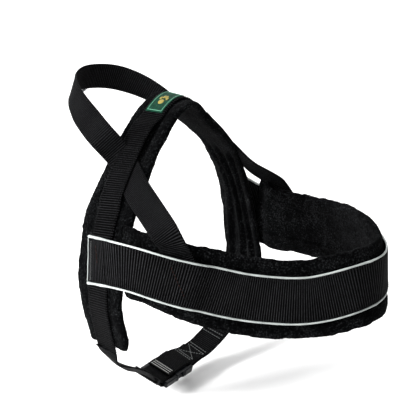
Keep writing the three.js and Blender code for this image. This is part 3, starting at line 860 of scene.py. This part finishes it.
def make_piping(level, label, middle):
    first = BAND_END + BAND_SKEW * level * CHEST_WEB_HALF
    distance = np.linspace(first - 1.2, CHEST.length - BAND_END + 1.2, 520)
    wobble = 0.22 * np.sin(distance / 6.1 + level) + 0.3 * np.sin(distance / 21)
    kinks = sum(0.5 * hump(distance, at, 2.2) for at in (28, 131, 310, CHEST.length - 70))
    across = level * (CHEST_WEB_HALF + PIPING_RADIUS - 0.1) + 0.3 * wobble
    out = middle + end_rise(distance) + waviness(distance) + wobble * 0.5 + kinks
    path = CHEST.point(distance, across, out)
    slim = smooth((distance - 32) / 14) * smooth((CHEST.length - 32 - distance) / 14)
    radius = PIPING_RADIUS - 0.32 * slim + 0.06 * np.sin(distance / 3.7) + 0.12 * kinks
    for end in (0, -1):
        grow = np.abs(distance - distance[end])
        radius = radius * np.where(grow < 1.4, np.sqrt(np.clip(grow / 1.4, 0.04, 1)), 1)
        radius = radius * (1 + 0.3 * hump(grow, 3.2, 2.4))
    obj = tube(f"piping_{label}", path, radius, REFLECTIVE, sides=14)
    ride_as(obj, "harness", "reflective", f"reflective_piping_{label}")
    flange_b = (CHEST_WEB_HALF - 1.6, CHEST_WEB_HALF + 0.4)
    flange_low = middle - 0.2
    rows = np.linspace(first + 1, CHEST.length - BAND_END - 1, 300)
    across = np.array([flange_b[0], flange_b[1], flange_b[1], flange_b[0]]) * level
    height = flange_low + np.array([-0.3, -0.3, 0.3, 0.3])
    out = height[None] + (end_rise(rows) + waviness(rows))[:, None]
    points = CHEST.grid(rows, across, out)
    flange = make_object(f"piping_flange_{label}", points.reshape(-1, 3),
                         ring_faces(300, 4), BLACK_THREAD)
    ride_as(flange, "harness", "reflective")


def make_hems(high):
    for label, edge, way in (("near", BAND_END, 1), ("far", CHEST.length - BAND_END, -1)):
        skew = BAND_SKEW if label == "near" else 0
        across = np.linspace(-CHEST_WEB_HALF + 0.5, CHEST_WEB_HALF - 0.5, 60)
        distance = edge + way * 0.9 + skew * across + 0.15 * np.sin(across / 3)
        out = high + end_rise(distance) + waviness(distance) + 0.2
        path = CHEST.point(distance, across, out)
        obj = tube(f"hem_{label}", path, 0.55, REFLECTIVE, sides=8)
        ride_as(obj, "harness", "reflective", f"reflective_hem_{label}")
        column = edge + way * 6.0
        ends = (column - 20.5 * skew, -20.5), (column + 20.5 * skew, 20.5)
        run = zigzag(CHEST, *ends, 2.6, 1.7, high + 0.4, end_rise)
        sewn = tube(f"hem_zigzag_{label}", run[0], 0.3, GREY_THREAD, sides=6)
        ride_as(sewn, "harness", "webbing")


def make_chest_tacks(top):
    """Sewn outlines where the diagonal straps are caught under the chest webbing."""
    runs, rust = [], []
    for near in (True, False):
        def at(d):
            return d if near else CHEST.length - d

        first, second = (101, 128) if near else (72, 99)
        for start in (first, second):
            runs.append(line_on(CHEST, (at(start), 18), (at(start + 22), -16), top, end_rise))
        runs.append(line_on(CHEST, (at(first), 18), (at(second), 18), top, end_rise))
        runs.append(line_on(CHEST, (at(first + 22), -16), (at(second + 22), -16), top, end_rise))
        runs.append(line_on(CHEST, (at(second), 18), (at(first + 22), -16), top, end_rise))
        rust.append(line_on(CHEST, (at(27), 17), (at(27), -2), top, end_rise))
        rust.append(line_on(CHEST, (at(first + 1), 16), (at(first + 21), -14), top, end_rise))
    ride_as(stitches("chest_box_stitch", runs, BLACK_THREAD, thread=0.4), "harness", "webbing")
    ride_as(stitches("chest_rust_stitch", rust, RUST_THREAD, thread=0.3), "harness", "webbing")


def carrying_rows():
    """The near diagonal, the handle and the far diagonal as one unbroken run of rows."""
    rows = [*diagonal_rows(True), *HANDLE_ROWS, *diagonal_rows(False)[::-1]]
    joined = [np.array(rows[0], float)]
    for row in rows[1:]:
        row = np.array(row, float)
        if np.dot(joined[-1][3:], row[3:]) < 0:
            row[3:] = -row[3:]
        joined.append(row)
    return joined


def row_distance(surface, index):
    return float(np.interp(index / (len(surface.at) - 1), surface.t, surface.table))


CARRYING = StripSurface(carrying_rows())
HANDLE_START = row_distance(CARRYING, len(diagonal_rows(True)))
HANDLE_END = row_distance(CARRYING, len(diagonal_rows(True)) + len(HANDLE_ROWS) - 1)


def carrying_seams(start, end):
    """Both edge seams, seen on both faces of the webbing."""
    out = HALF_WEBBING + RIB_HEIGHT
    runs = []
    for face in (-1, 1):
        for side in (-1, 1):
            line, outward = line_on(CARRYING, (start + 1, side * STRAP_SEAM),
                                    (end - 1, side * STRAP_SEAM), face * out)
            runs.append((line, outward * face))
    return runs


def make_diagonals():
    for label, start, end in (("near", 0, HANDLE_START), ("far", HANDLE_END, CARRYING.length)):
        obj = centred_strap(f"diagonal_{label}", CARRYING, start, end)
        ride_as(obj, "harness", "webbing", f"diagonal_strap_{label}")
        seams = stitches(f"diagonal_seams_{label}", carrying_seams(start, end), BLACK_THREAD)
        ride_as(seams, "harness", "webbing")


def make_handle():
    start, end = HANDLE_START + HANDLE_ROOT, HANDLE_END - HANDLE_ROOT
    loop = centred_strap("handle_strap", CARRYING, start - 0.5, end + 0.5)
    ride_as(loop, "handle", "webbing", "handle_loop")
    for label, first, last in (("near", HANDLE_START, start), ("far", end, HANDLE_END)):
        root = webbing(f"handle_end_{label}", CARRYING, first - 0.2, last + 0.2, STRAP_HALF - 0.05,
                       -HALF_WEBBING + 0.03, HALF_WEBBING - 0.03)
        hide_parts(f"handle_root_{label}")
        a, b = CARRYING.point([first + 1, last - 1], [0, 0], [0, 0]) / 1000
        if label == "far":
            a, b = b, a
        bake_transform(root)
    seams = stitches("handle_seams", carrying_seams(start, end), BLACK_THREAD)
    ride_as(seams, "handle", "webbing")


# ------------------------------------------------------------------ lead ring


def ring_frame():
    centre, _, across, outward = (v[0] for v in HANDLE.frames(HANDLE.length * RING_AT))
    out = outward if outward[0] < 0 else -outward
    along = np.cross(across, out)
    return centre, along, across, out


def make_ring():
    centre, along, up, out = ring_frame()
    wall = 1.3
    inside = RING_WIRE + GAP
    reach = HALF_WEBBING + GAP + wall + inside

    def at(x, y, z):
        x, y, z = np.broadcast_arrays(*(np.atleast_1d(v).astype(float) for v in (x, y, z)))
        return centre + along * x[:, None] + up * y[:, None] + out * z[:, None]

    turn = np.linspace(0, math.pi, 40)
    corner, drop = 4, 20
    bow_x = RING_HALF * np.cos(turn)
    bow_y = -corner - (drop - corner) * np.sin(turn)
    bar_x = np.linspace(-RING_HALF + 2, RING_HALF - 2, 12)
    bend = np.linspace(0.15, math.pi / 2 - 0.1, 6)
    right_x, right_y = RING_HALF - 2 + 2 * np.sin(bend), -corner / 2 * (1 - np.cos(bend)) * 2
    x = np.concatenate([bar_x, right_x, bow_x, -right_x[::-1]])
    y = np.concatenate([np.zeros(12), right_y, bow_y, right_y[::-1]])
    ring = tube("lead_d_ring", at(x, y, reach), RING_WIRE, STEEL, sides=18, closed=True)
    ride_as(ring, "ring", "steel", "lead_ring")
    angle = np.linspace(0, 2 * math.pi, 40, endpoint=False)
    rows = StripSurface([
        (*at(0, (inside + wall / 2) * math.sin(a), reach + (inside + wall / 2) * math.cos(a))[0],
         *along)
        for a in np.append(angle, angle[0])
    ])
    loop = webbing("ring_loop", rows, 0, rows.length, RING_KEEPER_HALF, -wall / 2, wall / 2, wavy=False)
    ride_as(loop, "handle", "webbing", "ring_keeper")
    tack_x = np.linspace(-6.5, 6.5, 24)
    runs = [
        (at(tack_x, level, HALF_WEBBING + 0.9), np.broadcast_to(out, (24, 3)))
        for level in (-5.2, -4.2, 4.2, 5.2)
    ]
    ride_as(stitches("ring_tacks", runs, BLACK_THREAD, thread=0.36, length=1.8, gap=0.6),
            "handle", "webbing")


# ------------------------------------------------------------------ belly strap and buckle


def near_belly_rows():
    return [
        place_on(SADDLE, 0, 0, (-1, 0), STRAP_LOW + WEBBING),
        (7, -131, -249, 0.93, -0.25, -0.2),
        (12.5, -110, -266, 0.96, -0.1, 0.15),
        (18, -95, -276.3, 0.97, 0, 0.15),
        (16.3, -81.9, -284.9, 0.961, 0, -0.276),
    ]


FAR_BELLY_ROWS = [
    (12, -41, -294.1, 0.961, 0, -0.276),
    (12.5, -24, -294.1, 0.961, 0, -0.276),
    (13, -8, -294.6, 0.961, 0, -0.276),
    (14.5, 8, -297, 0.961, 0, -0.276),
    (17, 24, -295.4, 0.96, 0.04, -0.27),
    (19, 40, -290.5, 0.95, 0.08, -0.25),
    (21, 60, -282.5, 0.95, 0.12, -0.2),
    (21, 92, -267, 0.97, 0.12, -0.1),
    (18, 124, -246, 0.99, 0.05, 0),
]
ADJUSTER_PATH = [
    (-42, 15), (-34, 9.6), (-27, 5.4), (-21, 3.7), (-12.2, STRAP_OFF_BAR), (-9, 2.7), (-8.2, 0),
    (-9, -2.7), (-12.2, -STRAP_OFF_BAR), (-19, -STRAP_OFF_BAR), (-24, -1.8), (-29, 3.2), (-35, 7.8),
    (-42, 12.5),
]
LOOP_PATH = [
    (60, 2.0), (47, 0.9), (40, 2.0), (33, STRAP_OFF_BAR), (29, STRAP_OFF_BAR), (26.2, 2.7),
    (25.5, 0), (26.2, -2.7), (29, -STRAP_OFF_BAR), (33, -STRAP_OFF_BAR), (40, -2.4), (47, -1.3),
    (60, 0),
]


def buckle_rows(path):
    """Places along and above the buckle, as rows in the row frame."""
    roll = math.radians(BUCKLE_ROLL)
    up = np.array([math.sin(roll), 0, math.cos(roll)])
    side = (math.cos(roll), 0, -math.sin(roll))
    return [(*(np.array(BUCKLE_AT) + (0, y, 0) + up * z), *side) for y, z in path]


def make_belly():
    near = StripSurface(near_belly_rows())
    strap = centred_strap("belly_near", near, -0.5, near.length + 0.4)
    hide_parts("belly_strap_near")
    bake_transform(strap)
    far = StripSurface(FAR_BELLY_ROWS)
    strap = centred_strap("belly_far", far, -8, far.length + 8)
    ride_as(strap, "harness", "webbing", "belly_strap_far")
    loop = StripSurface(buckle_rows(LOOP_PATH))
    strap = centred_strap("belly_far_loop", loop, 0, loop.length, STRAP_HALF - 0.3, wavy=False)
    ride_as(strap, "harness", "webbing", "belly_strap_loop")
    adjuster = StripSurface(buckle_rows(ADJUSTER_PATH))
    strap = centred_strap("belly_near_end", adjuster, 0, adjuster.length, STRAP_HALF - 0.1,
                          wavy=False)
    ride_as(strap, "plug", "webbing", "adjuster_strap")
    make_belly_stitches(far)


def make_belly_stitches(far):
    flip = np.sign(far.frames(60)[3][0][2])
    out = flip * (HALF_WEBBING + RIB_HEIGHT)

    def run(a, b):
        line, outward = line_on(far, a, b, out)
        return line, outward * flip

    bars = [run((at, -13), (at, 13)) for at in (-5.5, -2.0, 1.5)]
    ride_as(stitches("belly_bar_tacks", bars, WHITE_THREAD, thread=0.36, length=1.9, gap=0.4),
            "harness", "webbing")
    tie = [(-12, 42), (12, 62), (-12, 62), (12, 42), (-12, 42)]
    lines = [run((d0, b0), (d1, b1)) for (b0, d0), (b1, d1) in zip(tie, tie[1:])]
    lines += [run((at, -13), (at, 13)) for at in (38, 66, 92, 97)]
    ride_as(stitches("belly_w_stitch", lines, GREY_THREAD, thread=0.42, length=2.2, gap=0.9),
            "harness", "webbing")
    edges = [run((12, side * BELLY_SEAM), (far.length, side * BELLY_SEAM)) for side in (-1, 1)]
    ride_as(stitches("belly_seams", edges, BLACK_THREAD), "harness", "webbing")


def make_buckle():
    for node in ("buckle_socket", "buckle_plug", "buckle_arm_front", "buckle_arm_rear", "strap_keeper"):
        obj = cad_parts[node]
        bevel = obj.modifiers.new("rounded", "BEVEL")
        bevel.width = BUCKLE_BEVEL
        bevel.segments = 3
        bevel.limit_method = "ANGLE"
        bevel.angle_limit = math.radians(25)
        obj.data.materials.clear()
        obj.data.materials.append(PLASTIC if node != "strap_keeper" else WEB)
        for polygon in obj.data.polygons:
            polygon.use_smooth = True


# ------------------------------------------------------------------ label


def make_label():
    low = GIRTH_LOW + WEBBING + RIB_HEIGHT + 0.1
    start, end, half = TOP - 27, TOP + 3, 12

    def slab(name, d_range, b_range, height, material, thick=0.5, columns=12, steps=30):
        d = np.linspace(*d_range, steps)
        b = np.linspace(*b_range, columns)
        ring_b = np.concatenate([b, b[::-1]])
        ring_h = np.concatenate([np.zeros(columns), np.full(columns, thick)])
        out = low + height + ring_h[None] + crossing_lift(d)[:, None]
        points = SADDLE.grid(d, ring_b, out)
        weave = np.stack(np.broadcast_arrays(d[:, None], ring_b[None], 1.0), axis=-1)
        return make_object(name, points.reshape(-1, 3), ring_faces(steps, 2 * columns), material,
                           weave.reshape(-1, 3), shade_smooth=False)

    base = slab("label_cloth", (start, end), (-half, half), 0, LABEL)
    ride_as(base, "harness", "label", "label_patch")
    inset, width = 1.7, 0.7
    frame_bits = [
        ((start + inset, end - inset), (-half + inset, -half + inset + width)),
        ((start + inset, end - inset), (half - inset - width, half - inset)),
        ((start + inset, start + inset + width), (-half + inset, half - inset)),
        ((end - inset - width, end - inset), (-half + inset, half - inset)),
    ]
    for i, (d_range, b_range) in enumerate(frame_bits):
        bit = slab(f"label_border_{i}", d_range, b_range, 0.45, PALE_THREAD, thick=0.22, columns=4)
        ride_as(bit, "harness", "label")
    make_paw((start + end) / 2, low + 0.5)


def make_paw(middle, height):
    """A plain paw print: one large pad and four toes, as raised embroidery."""
    blobs = [(-2.2, 0, 3.6, 3.0), (2.2, -4.2, 1.5, 1.9), (4.2, -1.5, 1.6, 2.0), (4.2, 1.6, 1.6, 2.0),
             (2.2, 4.3, 1.5, 1.9)]
    points, faces = [], []
    angle = np.linspace(0, 2 * math.pi, 20, endpoint=False)
    for ahead, side, wide, long in blobs:
        base = sum(len(p) for p in points)
        for share, rise in ((1.0, -0.1), (0.92, 0.28), (0.6, 0.42), (0.2, 0.48)):
            d = middle + ahead + long * share * np.cos(angle)
            b = side + wide * share * np.sin(angle)
            points.append(SADDLE.point(d, b, height + rise + crossing_lift(d)))
        faces += [tuple(base + i for i in face) for face in ring_faces(4, 20)]
    paw = make_object("label_paw", np.concatenate(points), faces, GOLD_THREAD)
    ride_as(paw, "harness", "label")


# ------------------------------------------------------------------ studio, in metres

CAMERA_AZIMUTH, CAMERA_ELEVATION = math.radians(33.0), math.radians(19.4)
CAMERA_DISTANCE, CAMERA_LENS = 1.6, 130
CAMERA_TARGET = Vector((0.02466, 0.01601, -0.110))
FLOOR_BELOW = 0.012


def camera_back():
    a, e = CAMERA_AZIMUTH, CAMERA_ELEVATION
    return Vector((math.sin(a) * math.cos(e), -math.cos(a) * math.cos(e), math.sin(e)))


def make_camera():
    data = bpy.data.cameras.new("camera")
    data.lens, data.sensor_width = CAMERA_LENS, 36
    obj = place_object("camera", data)
    obj.location = CAMERA_TARGET + camera_back() * CAMERA_DISTANCE
    obj.rotation_euler = (-camera_back()).to_track_quat("-Z", "Y").to_euler()
    bpy.context.scene.camera = obj


def make_floor():
    lowest = cad_box[0].z - FLOOR_BELOW
    size = 30
    mesh = bpy.data.meshes.new("floor")
    corners = [(x * size, y * size, lowest) for x, y in ((-1, -1), (1, -1), (1, 1), (-1, 1))]
    mesh.from_pydata(corners, [], [(0, 1, 2, 3)])
    n = Nodes("floor_paper")
    n.set(Base_Color=(0.93, 0.93, 0.93, 1), Roughness=0.9)
    mesh.materials.append(n.material)
    place_object("floor", mesh)


def area_light(name, place, size, power, target=(0.04, 0, -0.14)):
    data = bpy.data.lights.new(name, "AREA")
    data.shape = "RECTANGLE"
    data.size, data.size_y = size
    data.energy = power
    obj = place_object(name, data)
    obj.location = place
    obj.rotation_euler = (Vector(target) - Vector(place)).to_track_quat("-Z", "Y").to_euler()


def make_lights():
    world = bpy.data.worlds.new("studio")
    bpy.context.scene.world = world
    world.use_nodes = True
    background = world.node_tree.nodes["Background"].inputs
    background["Color"].default_value = (1, 1, 1, 1)
    background["Strength"].default_value = 0.45
    overhead = bpy.data.lights.new("overhead", "SUN")
    overhead.energy = 1.9
    overhead.angle = math.radians(70)
    place_object("overhead", overhead).rotation_euler = (math.radians(12), math.radians(-6), 0)
    area_light("key", (-0.8, -1.6, 0.6), (0.5, 0.5), 84)
    area_light("rim", (-0.9, 1.2, 0.9), (0.9, 0.9), 14)
    bpy.context.scene.view_settings.view_transform = "Standard"


# ------------------------------------------------------------------ all together

make_camera()
make_pads()
make_girth()
make_chest_band()
make_diagonals()
make_handle()
make_ring()
make_belly()
make_buckle()
make_label()
make_floor()
make_lights()
